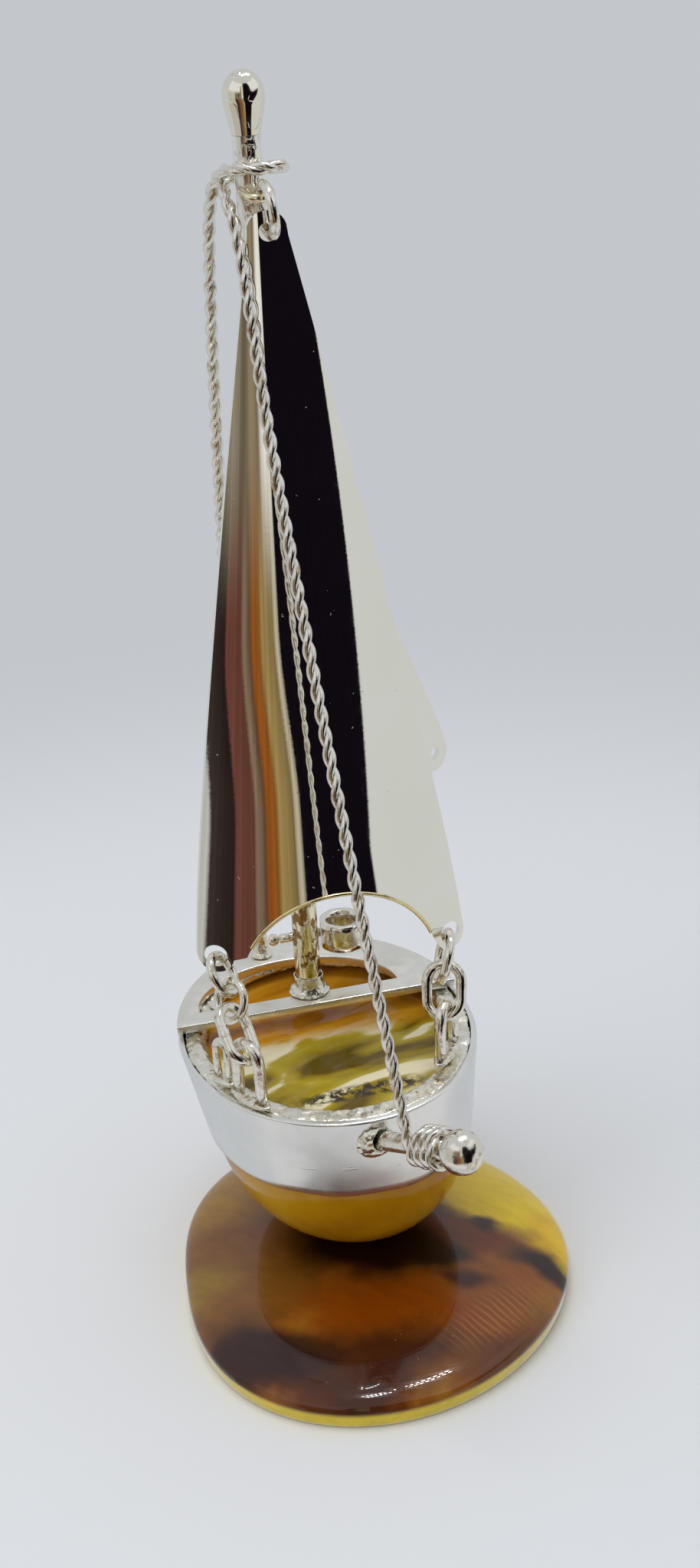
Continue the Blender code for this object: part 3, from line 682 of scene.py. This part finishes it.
def foot_point(r, angle, z):
    """A point of the foot, whose outline is a circle pulled into an uneven oval."""
    share = 1 + sum(
        a * math.cos(turn * angle) + b * math.sin(turn * angle)
        for turn, (a, b) in enumerate(FOOT_HARMONICS, start=1)
    )
    return r * share * math.cos(angle), r * share * math.sin(angle), z


def on_mast(r, angle, z):
    return MAST_X + r * math.cos(angle), MAST_Y + r * math.sin(angle), z


def foot():
    """The cabochon: a low dome over a thin rim."""
    dome, steps = [], 40
    for i in range(steps):
        t = math.radians(90 * i / steps)
        dome.append((FOOT_RADIUS * math.sin(t), FOOT_GIRDLE_Z + FOOT_DOME * math.cos(t) ** 0.9))
    drop = [(0.03, FOOT_GIRDLE_Z + 0.09), (0, FOOT_GIRDLE_Z), (0.04, 1.2)]
    drop += [(0.12, 0.8), (0.2, 0.3), (0.3, 0.08), (0.45, 0)]
    side = [(FOOT_RADIUS - inset, z) for inset, z in drop]
    stone = turned("foot_stone", [*dome, *side, (0, 0)], 256, foot_point)
    show(stone, foot_amber(), "amber_cognac", "boat", "base_stone")


def hull():
    """The silver band and the stone it holds."""
    top, bottom = BAND_TOP, BAND_BOTTOM

    def wavy(r, angle, z):
        """The band's hand-cut lower edge and slightly uneven wall."""
        low = (top - z) / (top - bottom)
        edge = 0.12 * math.sin(3 * angle + 0.6) + 0.05 * math.sin(11 * angle)
        x, y, z = oval(r, angle, z + low * edge)
        ripple = 0.05 * noise.noise(Vector((x, y, z)) * 0.25)
        return x * (1 + ripple / 20), y * (1 + ripple / 20), z

    outer = [(band_radius(top) - 0.2, top), (band_radius(top) - 0.09, top - 0.03)]
    outer += [(band_radius(top - 0.1), top - 0.1)]
    outer += [(band_radius(top) + 0.005 - 0.0014 * k, top - 0.16 - 0.01 * k) for k in range(3)]
    outer += [(band_radius(bottom + 0.12), bottom + 0.12), (band_radius(bottom) - 0.05, bottom + 0.03)]
    outer += [(band_radius(bottom) - 0.15, bottom), (band_radius(bottom) - BAND_WALL, bottom)]
    outer += [(band_radius(top) - BAND_WALL, top)]
    band = turned("band_fine", refined(outer, 0.6), 288, wavy, closed=True)
    show(band, band_silver(), "silver_satin", "boat", "hull_band")

    slack = BAND_WALL + 0.12
    bowl = [(0, STONE_TOP + 0.25), (6, STONE_TOP + 0.18)]
    bowl += [(band_radius(STONE_TOP) - slack - 0.6, STONE_TOP)]
    bowl += [(band_radius(STONE_TOP - 0.5) - slack, STONE_TOP - 0.5)]
    waist = band_radius(bottom) - slack
    lowest = math.asin((bottom - STONE_BOTTOM) / STONE_DEPTH)
    steps = 40
    for angle in (lowest * i / steps for i in range(steps + 1)):
        bowl.append((waist * math.cos(angle) ** STONE_FULLNESS, bottom - STONE_DEPTH * math.sin(angle)))
    bowl += [(0, STONE_BOTTOM)]

    def layered(r, angle, z):
        """The stone's uneven upper face and smooth belly."""
        x, y, z = oval(r, angle, z)
        if z > STONE_TOP - 0.1:
            z -= 0.12 + 0.12 * noise.noise(Vector((x * 0.2, y * 0.9 - x * 0.4, 0)))
        return x, y, z

    stone = turned("hull_fine", refined(bowl, 0.45), 160, layered)
    show(stone, hull_amber(), "amber_honey", "boat", "hull_stone")


def mast():
    """The rod and the knob on its top."""
    look = mast_silver()
    bottom, top = MAST_Z
    rod = refined([(MAST_RADIUS, top), (MAST_RADIUS, bottom)], 0.8)

    def uneven(r, angle, z):
        swell = 0.02 * noise.noise(Vector((math.cos(angle), math.sin(angle), z * 0.5)))
        return on_mast(r * (1 + swell), angle, z)

    item = turned("mast_fine", [(0, top), *rod, (0, bottom)], 64, uneven)
    show(item, look, "silver_polished", "boat", "mast")
    knob = [(0, 0), (0.3, 0.03), (0.58, 0.13), (0.84, 0.3), (1.06, 0.52), (1.24, 0.8)]
    knob += [(1.38, 1.15), (1.46, 1.5), (1.47, 1.85), (1.43, 2.25), (1.35, 2.7), (1.26, 3.1)]
    knob += [(1.17, 3.5), (1.1, 3.8), (1.03, 4.2), (0, 4.2)]
    profile = [(r, FINIAL_TOP - drop) for r, drop in knob]
    item = turned("finial_fine", profile, 72, on_mast)
    show(item, finial_silver(), "silver_polished", "boat", "mast_finial")


def stay():
    """Two strands twisted together, from the stern round the masthead into the bowsprit's coils."""
    backstay = [(-2.3, 6.9, 23.15), (-2.8, 6.4, 36), (-3.0, 5.8, 52)]
    backstay += [(-2.85, 4.0, 70), (-2.6, 2.7, 79.6)]
    loop = [(-2.35, 1.75, 82.9), (-2.05, 0.95, 84.0), (-1.75, 0, 84.6), (-1.2, -1.15, 84.8)]
    loop += [(-0.2, -1.75, 84.85), (0.9, -1.95, 84.85), (1.9, -1.4, 84.75), (2.3, -0.4, 84.6)]
    loop += [(2.0, 0.7, 84.45), (1.2, 1.4, 84.3), (0, 1.6, 84.1), (-1.1, 1.3, 83.8)]
    loop += [(-1.65, 0.5, 83.4), (-1.8, -0.5, 82.95), (-1.75, -1.4, 82.2)]
    forestay = [(-1.65, -2.2, 81.2), (-1.5, -4.2, 76.6), (-1.3, -7.2, 67.4)]
    forestay += [(-0.6, -13.0, 52), (0.25, -18.8, 37)]
    masthead = Vector((MAST_X, MAST_Y, 0))
    sweep = [masthead + Vector(point) for point in backstay + loop + forestay]
    axis = (BALL_CENTRE - SPRIT_START).normalized()
    arrival = (BALL_CENTRE - COIL_START * axis - sweep[len(backstay) + len(loop)]).normalized()
    side = axis.cross(arrival).normalized()
    if side.x > 0:
        side = -side
    coil, per_turn = [], 40
    for i in range(COIL_TURNS * per_turn + 1):
        turn = i / per_turn
        centre = BALL_CENTRE - (COIL_START - COIL_PITCH * turn) * axis
        angle = 2 * math.pi * turn
        coil.append(centre + COIL_RADIUS * (math.cos(angle) * side + math.sin(angle) * arrival))
    sweep.append(coil[0] - 2.5 * arrival)
    route = smooth_path(sweep, 24)[:-1] + [coil[0] - 1.2 * arrival] + coil
    path = evenly(route, STRAND_STEP)
    item = wire("stay_twist", [strand(path, 0), strand(path, math.pi)], STRAND_RADIUS)
    look = wire_silver("stay_silver", (0.88, 0.84, 0.77), (0.12, 0.3))
    show(item, look, "silver_twist", "boat", "stay_wire")


def fine_sheet(name, columns, rows, shape, thick, outline, holes, depth):
    """A curved sheet cut to an XZ outline, with round holes."""
    grid = bmesh.new()
    bmesh.ops.create_grid(grid, x_segments=columns, y_segments=rows, size=1)
    for vertex in grid.verts:
        vertex.co = Vector(shape(vertex.co.x, vertex.co.y)) * MM
    item = add(name, mesh_from(grid, name))
    solid = item.modifiers.new("thickness", "SOLIDIFY")
    solid.thickness = thick * MM
    solid.offset = 0
    curve = bpy.data.curves.new(name + "_outline", "CURVE")
    curve.dimensions = "2D"
    curve.fill_mode = "BOTH"
    curve.extrude = depth / 2 * MM
    spline = curve.splines.new("POLY")
    spline.points.add(len(outline) - 1)
    for target, (x, z) in zip(spline.points, outline):
        target.co = (x * MM, z * MM, 0, 1)
    spline.use_cyclic_u = True
    flat = add(name + "_curve", curve)
    cutter = evaluated(flat)
    bpy.data.objects.remove(flat)
    shell = welded(cutter)
    bmesh.ops.recalc_face_normals(shell, faces=shell.faces)
    upright = Matrix.Rotation(math.pi / 2, 4, "X")
    bmesh.ops.transform(shell, matrix=upright, verts=shell.verts)
    shell.to_mesh(cutter)
    shell.free()
    tools = [(add(name + "_plate", cutter), "INTERSECT")]
    for x, z, radius in holes:
        shell = bmesh.new()
        sizes = {"radius1": radius * MM, "radius2": radius * MM, "depth": depth * MM}
        bmesh.ops.create_cone(shell, cap_ends=True, segments=64, **sizes)
        placed = Matrix.Translation((x * MM, 0, z * MM)) @ upright
        bmesh.ops.transform(shell, matrix=placed, verts=shell.verts)
        tools.append((add(name + "_drill", mesh_from(shell, name + "_drill")), "DIFFERENCE"))
    for tool, operation in tools:
        step = item.modifiers.new(operation.lower(), "BOOLEAN")
        step.operation = operation
        step.solver = "EXACT"
        step.object = tool
    mesh = evaluated(item, name)
    for used in [item] + [tool for tool, _ in tools]:
        bpy.data.objects.remove(used)
    smooth(mesh, 35)
    return add(name, mesh)


def sail_half(z):
    """Half the foresail's width at a height."""
    return SAIL_HEAD_HALF + SAIL_SPREAD * (SAIL_TOP_Z + 0.5 - z)


def sail_point(u, v):
    """A point of the foresail's curved surface, for u and v from -1 to 1."""
    z = SAIL_MIDDLE_Z + SAIL_HALF_HEIGHT * v
    half = sail_half(z)
    side = SAIL_OVERLAP * u
    y = SAIL_TOP_Y - (SAIL_TOP_Z - z) * SAIL_RAKE - SAIL_BELLY * half * (1 - side * side)
    return SAIL_X + side * half, y, z


def foresail():
    """The bent sheet, cut to its outline from the head round by port."""
    head_x, (port_x, port_z), (starboard_x, starboard_z) = HEAD_EYE[0], CLEW_PORT, CLEW_STARBOARD
    corner = (CLEW_RADIUS, CLEW_RADIUS)
    port_ends = (head_x - SHOULDER_OUT, SHOULDER_Z), (port_x - CLEW_RADIUS, port_z)
    starboard_ends = (starboard_x + CLEW_RADIUS, starboard_z), (head_x + SHOULDER_OUT, SHOULDER_Z)
    outline = arc(HEAD_EYE, (HEAD_RADIUS, HEAD_RADIUS), 15, 165, 32)
    outline += bend(port_ends[0], (SAIL_X - HOLLOW_OUT, HOLLOW_Z), port_ends[1], 60)[:-1]
    outline += arc(CLEW_PORT, corner, 180, 345, 32)
    outline += arc(ARCH_CENTRE, ARCH_RADII, 158, 20, 90, ARCH_TILT)
    outline += arc(CLEW_STARBOARD, corner, 195, 360, 32)
    outline += bend(starboard_ends[0], (SAIL_X + HOLLOW_OUT, HOLLOW_Z), starboard_ends[1], 60)[1:]
    holes = [(*HEAD_EYE, HEAD_HOLE), (*CLEW_PORT, CLEW_HOLE), (*CLEW_STARBOARD, CLEW_HOLE)]
    item = fine_sheet("foresail_fine", 72, 150, sail_point, SAIL_THICK, outline, holes, 60)
    show(item, SAIL_LOOK, "silver_polished", "foresail", "foresail")


def arch_lip():
    """The rounded, gold-toned lip that catches the light along the sail's arch."""
    path = []
    for x, z in arc(ARCH_CENTRE, ARCH_RADII, 152, 26, 90, ARCH_TILT):
        across = (x - SAIL_X) / sail_half(z) / SAIL_OVERLAP
        point = Vector(sail_point(across, (z - SAIL_MIDDLE_Z) / SAIL_HALF_HEIGHT))
        path.append(point - Vector((0, 0.45 * SAIL_THICK, 0)))
    item = wire("arch_lip", [path], 0.15)
    look = wire_silver("cut_edge", (0.93, 0.78, 0.42), (0.12, 0.3))
    show(item, look, "silver_polished", "foresail", "foresail")


def aft_point(u, v):
    """A point of the after sail's surface, for u and v from -1 to 1, before the turn."""
    x = 8.2 + 7.6 * u
    return x, -AFT_BELLY * (1 - ((x - AFT_BELLY_X) / AFT_BELLY_X) ** 2), 47 + 19 * v


def aft_sail():
    """The smaller sheet behind the mast, cut to its outline and turned about the mast."""
    (low, high), (clew_x, clew_z) = HOOP_Z, AFT_CLEW
    corner, corner_x = (AFT_CORNER, AFT_CORNER), AFT_LUFF + AFT_CORNER
    leech = (AFT_LUFF + 2.42, high - 0.2), (clew_x + 1.2, clew_z + 1.1)
    bottom = (clew_x - 1.0, clew_z - 1.2), (AFT_LUFF + 2.4, low + 0.4)
    outline = arc((corner_x, high + 0.3), corner, 180, 20, 24)
    outline += bend(leech[0], (9.6, 50), leech[1], 36)[:-1]
    outline += arc(AFT_CLEW, (AFT_CLEW_RADIUS, AFT_CLEW_RADIUS), 35, -110, 28)
    outline += bend(bottom[0], (8, 36.5), bottom[1], 36)[1:-1]
    outline += arc((corner_x, low), corner, 0, -180, 24)
    holes = [(HOOP_RADIUS, low, HOOP_HOLE), (HOOP_RADIUS, high, HOOP_HOLE), (*AFT_CLEW, AFT_CLEW_HOLE)]
    item = fine_sheet("aft_sail_fine", 40, 60, aft_point, AFT_THICK, outline, holes, 10)
    about_mast = Matrix.Translation(Vector((MAST_X, MAST_Y, 0)) * MM)
    item.data.transform(about_mast @ Matrix.Rotation(math.radians(AFT_TURN), 4, "Z"))
    show(item, SAIL_LOOK, "silver_polished", "aft_sail", "aft_sail")


def deck():
    """The deck plate with softened edges."""
    shell = welded(NODES["deck_plate"].data)
    flat = math.radians(1)
    bmesh.ops.dissolve_limit(
        shell, angle_limit=flat, verts=shell.verts, edges=shell.edges, delimit=set()
    )
    item = add("deck_form", mesh_from(shell, "deck_form"))
    bevel = item.modifiers.new("edges", "BEVEL")
    bevel.width = 0.11 * MM
    bevel.segments = 3
    bevel.limit_method = "ANGLE"
    bevel.angle_limit = math.radians(40)
    mesh = evaluated(item, "deck_fine")
    bpy.data.objects.remove(item)
    smooth(mesh, 30)
    show(add("deck_fine", mesh), deck_silver(), "silver_satin", "boat", "deck_plate")


def fittings():
    """Wire, rings and balls rounded from their nodes, and solder run round their feet."""
    bodies = {node: item["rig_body"] for node, item in NODES.items()}
    bright = wire_silver()
    golden = wire_silver("eye_silver", (0.93, 0.84, 0.60))
    rounds = {  # swell and dents in millimetres
        "bowsprit": (0.0, 0.04),
        "mast_pin": (0.02, 0.04),
        "strap_loop": (0.0, 0.06),
        "mast_pin_knob": (0.0, 0.03),
        "mast_eye": (0.03, 0.03),
    }
    wires = ("staple_port", "staple_starboard", "rim_hook", "head_ring", "port_clew_ring", "port_mid_ring")
    wires += ("port_low_link", "starboard_clew_ring", "starboard_low_link", "mast_hoop_low", "mast_hoop_high")
    for node in wires:
        rounds[node] = (0.05, 0.06)
    rounds["port_mid_ring"] = (-0.01, 0.04)
    for node, (swell, dents) in rounds.items():
        look = golden if node == "mast_eye" else bright
        show(rounded(node, swell, dents), look, "silver_polished", bodies[node], node)
    ball = rounded("bowsprit_ball", 0.07, 0.02, 0.8)
    show(ball, wire_silver("ball_silver", rough=(0.12, 0.2)), "silver_polished", "boat", "bowsprit_ball")
    solder = solder_silver()
    for node, voxel, depth, per_mm in (
        ("inner_rim", 0.13, 0.20, 0.8),
        ("mast_solder", 0.08, 0.10, 1.6),
        ("bowsprit_collar", 0.08, 0.16, 1.5),
        ("stern_post", 0.07, 0.08, 1.6),
        ("staple_solder_port", 0.07, 0.10, 1.5),
        ("staple_solder_starboard", 0.07, 0.10, 1.5),
        ("rim_hook_solder", 0.07, 0.08, 1.5),
    ):
        show(lumpy(node, voxel, depth, per_mm), solder, "silver_solder", "boat", node)
    glue = lumpy("glue_pad", 0.07, 0.03, 1.0)
    show(glue, glue_look(), "clear_glue", "boat", "glue_pad")


# ---------------------------------------------------------------- surroundings


def stage_material(name, colour_of):
    """An emission-only material whose colour comes from a builder."""
    look = Look(name)
    look.tree.nodes.remove(look.shader)
    glow = look.node("Emission", None, {"Strength": 1.0})
    colour_of(look, glow.inputs["Color"])
    look.surface(glow.outputs[0])
    return look.material


def floor():
    """White paper that fades into the background, left out of the reflections."""
    bpy.ops.mesh.primitive_circle_add(
        vertices=96, radius=FLOOR_RADIUS * MM, fill_type="NGON", location=(0, 0, -FLOOR_DROP * MM)
    )
    item = bpy.context.object
    item.name = "floor"
    look = Look("floor_paper")
    speckle = look.noise(0.05, 4.0)
    darker = tuple(0.985 * c for c in FLOOR_COLOUR)
    look.set(colour=look.mix(speckle, FLOOR_COLOUR, darker), roughness=0.75)
    far = look.node("VectorMath", {"operation": "LENGTH"}, {0: look.place()}).outputs["Value"]
    glow = look.node("Emission", None, {"Color": (*BACKGROUND, 1), "Strength": 1.0})
    blend = look.node("MixShader")
    look.feed(blend.inputs[0], look.between(far, *FLOOR_FADE))
    look.feed(blend.inputs[1], look.shader.outputs[0])
    look.feed(blend.inputs[2], glow.outputs[0])
    look.surface(blend.outputs[0])
    item.data.materials.append(look.material)
    item.visible_glossy = False


def only_reflected(item):
    """Hides a staged piece from every ray but the mirror ones."""
    for ray in ONLY_REFLECTED:
        setattr(item, "visible_" + ray, False)


def reflected_room():
    """A curved screen before the bow, seen only in reflections: a dim room with uprights."""
    radius, low, high, steps = 220 * MM, -300 * MM, 330 * MM, 60
    screen = bmesh.new()
    columns = []
    for i in range(steps + 1):
        angle = math.radians(-100 + 200 * i / steps)
        x, y = radius * math.sin(angle), -radius * math.cos(angle)
        columns.append((screen.verts.new((x, y, low)), screen.verts.new((x, y, high))))
    for (a, b), (c, d) in zip(columns, columns[1:]):
        screen.faces.new((a, c, d, b))
    item = add("reflected_room", mesh_from(screen, "reflected_room"))

    def paint(look, socket):
        where = look.place()
        x, y, z = (look.axis(name, where) for name in "XYZ")
        back = look.maths("MULTIPLY", y, -1.0)
        azimuth = look.maths("ARCTAN2", x, back)
        degrees = look.maths("MULTIPLY", azimuth, 180 / math.pi)
        sway = look.between(z, 12.0, 45.0, 0.0, 7.0)
        swayed = {"Value": look.maths("ADD", degrees, sway), "From Min": -60.0, "From Max": 0.0}
        share = look.node("MapRange", None, swayed).outputs["Result"]
        black = (0.006, 0.004, 0.007)
        uprights = look.ramp(
            share,
            [
                (0.155, (0.56, 0.56, 0.52)),
                (0.175, (0.050, 0.036, 0.032)),
                (0.335, (0.022, 0.014, 0.012)),
                (0.355, (0.17, 0.062, 0.045)),
                (0.49, (0.13, 0.048, 0.033)),
                (0.52, (0.28, 0.20, 0.13)),
                (0.58, (0.12, 0.065, 0.035)),
                (0.62, (0.36, 0.10, 0.012)),
                (0.68, (0.26, 0.10, 0.020)),
                (0.72, (0.40, 0.28, 0.10)),
                (0.84, (0.24, 0.17, 0.07)),
                (0.875, (0.62, 0.56, 0.42)),
                (0.905, (0.30, 0.28, 0.20)),
                (0.915, black),
            ],
        )
        pale = look.ramp(
            share,
            [
                (0.155, (0.60, 0.60, 0.56)),
                (0.20, (0.10, 0.085, 0.06)),
                (0.36, (0.34, 0.30, 0.22)),
                (0.50, (0.14, 0.11, 0.075)),
                (0.64, (0.34, 0.27, 0.17)),
                (0.72, (0.20, 0.15, 0.09)),
                (0.80, (0.93, 0.90, 0.84)),
                (0.90, (0.85, 0.82, 0.74)),
                (0.915, black),
            ],
        )
        colour = look.mix(look.between(z, 45.0, 80.0), uprights, pale)
        along = look.node("CombineXYZ", None, {"X": degrees, "Y": 0.0, "Z": 0.0}).outputs[0]
        streaks = look.noise(0.55, 3.0, 0.6, along)
        colour = look.mix(0.7, colour, look.ramp(streaks, [(0.35, 0.55), (0.65, 1.0)]), "MULTIPLY")
        rise = look.maths("MULTIPLY", z, 0.36)
        lean = look.maths("SUBTRACT", degrees, look.maths("MAXIMUM", rise, 0.0))
        colour = look.mix(look.between(lean, 31.5, 33.0), colour, (0.60, 0.615, 0.595))
        colour = look.mix(look.between(z, -95.0, -70.0, 1.0, 0.0), colour, (0.66, 0.67, 0.68))
        flat = look.node("CombineXYZ", None, {"X": degrees, "Y": z}).outputs[0]
        figure = look.blob(flat, (2, 150), (34, 230), 0, 0.15)
        clear = look.maths("SUBTRACT", 1.0, figure)
        aloft = look.maths("MULTIPLY", look.between(z, 130.0, 180.0), clear)
        look.feed(socket, look.mix(aloft, colour, (0.75, 0.76, 0.78)))

    item.data.materials.append(stage_material("room_glow", paint))
    only_reflected(item)


def lamp_dots():
    """Two short rows of tiny bright lamps, seen only as sparks in the polished amber."""
    shell = bmesh.new()
    start, end, across = Vector((-2, 2, 252)), Vector((86, 44, 231)), Vector((-4.2, 8.6, 0.0))
    last, gap = 16, 8
    for row in range(2):
        for k in (i for i in range(last + 1) if i != gap):
            centre = start.lerp(end, k / last) + across * row
            placed = Matrix.Translation(centre * MM)
            bmesh.ops.create_icosphere(shell, subdivisions=2, radius=2.0 * MM, matrix=placed)
    item = add("lamp_dots", mesh_from(shell, "lamp_dots"))

    def paint(look, socket):
        look.feed(socket, look.ramp(look.noise(0.1), [(0.3, (0.9, 0.9, 0.95)), (0.7, (1.0, 1.0, 1.0))]))
        look.feed(socket.node.inputs["Strength"], 70.0)

    item.data.materials.append(stage_material("lamp_glow", paint))
    only_reflected(item)


def lamps():
    """An even grey world, one soft lamp overhead and a weaker one to port."""
    world = bpy.data.worlds.new("studio")
    bpy.context.scene.world = world
    world.use_nodes = True
    sky = world.node_tree.nodes["Background"]
    sky.inputs["Color"].default_value = (*BACKGROUND, 1)
    sky.inputs["Strength"].default_value = 1.0
    for name, where, size, watts in (
        ("overhead", (-60, -40, 420), 260, 0.62),
        ("left_fill", (-330, -120, 240), 200, 0.22),
    ):
        data = bpy.data.lights.new(name, "AREA")
        data.energy = watts
        data.size = size * MM
        lamp = bpy.data.objects.new(name, data)
        bpy.context.scene.collection.objects.link(lamp)
        lamp.location = Vector(where) * MM
        lamp.visible_glossy = False
        aim = Vector((0, 0, 30)) * MM - lamp.location
        lamp.rotation_euler = aim.to_track_quat("-Z", "Y").to_euler()


def camera():
    """The photo's camera: its place, direction, roll and focal length."""
    data = bpy.data.cameras.new("camera")
    data.sensor_width = 36
    data.lens = FOCAL_PIXELS / LONG_SIDE * data.sensor_width
    data.clip_start, data.clip_end = 0.005, 20
    item = bpy.data.objects.new("camera", data)
    bpy.context.scene.collection.objects.link(item)
    forward = Vector(CAMERA_FORWARD).normalized()
    level = forward.cross(Vector((0, 0, 1))).normalized()
    up = level.cross(forward)
    right = level * math.cos(CAMERA_ROLL) - up * math.sin(CAMERA_ROLL)
    up = level * math.sin(CAMERA_ROLL) + up * math.cos(CAMERA_ROLL)
    facing = Matrix((right, up, -forward)).transposed().to_4x4()
    item.matrix_world = Matrix.Translation(Vector(CAMERA_AT) * MM) @ facing
    bpy.context.scene.camera = item


SAIL_LOOK = sail_silver()
foot()
hull()
deck()
mast()
stay()
foresail()
arch_lip()
aft_sail()
fittings()
floor()
reflected_room()
lamp_dots()
lamps()
camera()
bpy.context.scene.view_settings.view_transform = "Standard"
